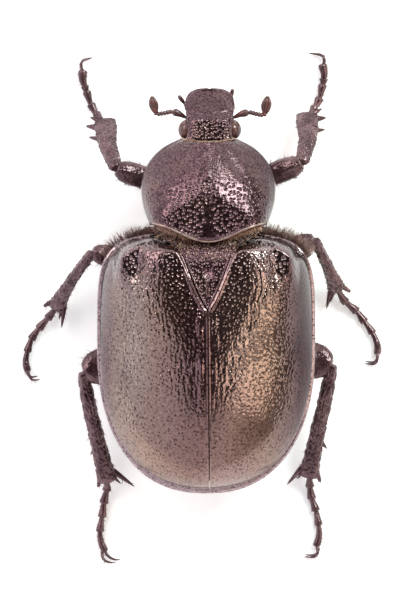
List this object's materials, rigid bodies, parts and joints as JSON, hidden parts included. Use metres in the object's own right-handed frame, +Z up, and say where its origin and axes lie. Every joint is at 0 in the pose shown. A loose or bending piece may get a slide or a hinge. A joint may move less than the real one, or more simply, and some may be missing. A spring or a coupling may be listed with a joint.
{
  "type": "hermit beetle model",
  "caption": "Life-size model of a dark, bronzed hermit beetle with its wing cases shut, standing on six toothed legs with its feelers held out, for display",
  "frame": {"origin": "On the floor, under the middle of the model's outline: the feet stand on z = 0", "axes": "+Y points where the head points, +Z is up and +X is to the beetle's right"},
  "size_m": [0.0269, 0.0383, 0.0117],
  "materials": {
    "bronze_cuticle": "dark bronzed insect shell, finely wrinkled and pitted, glossy",
    "dark_cuticle": "brown-black insect shell, half gloss",
    "leg_cuticle": "dark brown insect shell with coarse pits, half gloss",
    "red_brown_cuticle": "red-brown insect shell, half gloss",
    "eye": "red-brown, smooth and shiny, with very fine facets"
  },
  "bodies": {
    "root": {"abdomen": "dark_cuticle", "antenna_left": "red_brown_cuticle", "antenna_right": "red_brown_cuticle", "coxa_front_left": "leg_cuticle", "coxa_front_right": "leg_cuticle", "coxa_hind_left": "leg_cuticle", "coxa_hind_right": "leg_cuticle", "coxa_mid_left": "leg_cuticle", "coxa_mid_right": "leg_cuticle", "elytron_left": "bronze_cuticle", "elytron_right": "bronze_cuticle", "eye_left": "eye", "eye_right": "eye", "femur_front_left": "leg_cuticle", "femur_front_right": "leg_cuticle", "femur_hind_left": "leg_cuticle", "femur_hind_right": "leg_cuticle", "femur_mid_left": "leg_cuticle", "femur_mid_right": "leg_cuticle", "head": "bronze_cuticle", "mouthparts": "red_brown_cuticle", "palp_left": "red_brown_cuticle", "palp_right": "red_brown_cuticle", "pronotum": "bronze_cuticle", "scutellum": "dark_cuticle", "tarsus_front_left": "leg_cuticle", "tarsus_front_right": "leg_cuticle", "tarsus_hind_left": "leg_cuticle", "tarsus_hind_right": "leg_cuticle", "tarsus_mid_left": "leg_cuticle", "tarsus_mid_right": "leg_cuticle", "thorax": "dark_cuticle", "tibia_front_left": "leg_cuticle", "tibia_front_right": "leg_cuticle", "tibia_hind_left": "leg_cuticle", "tibia_hind_right": "leg_cuticle", "tibia_mid_left": "leg_cuticle", "tibia_mid_right": "leg_cuticle"}
  },
  "joints": []
}
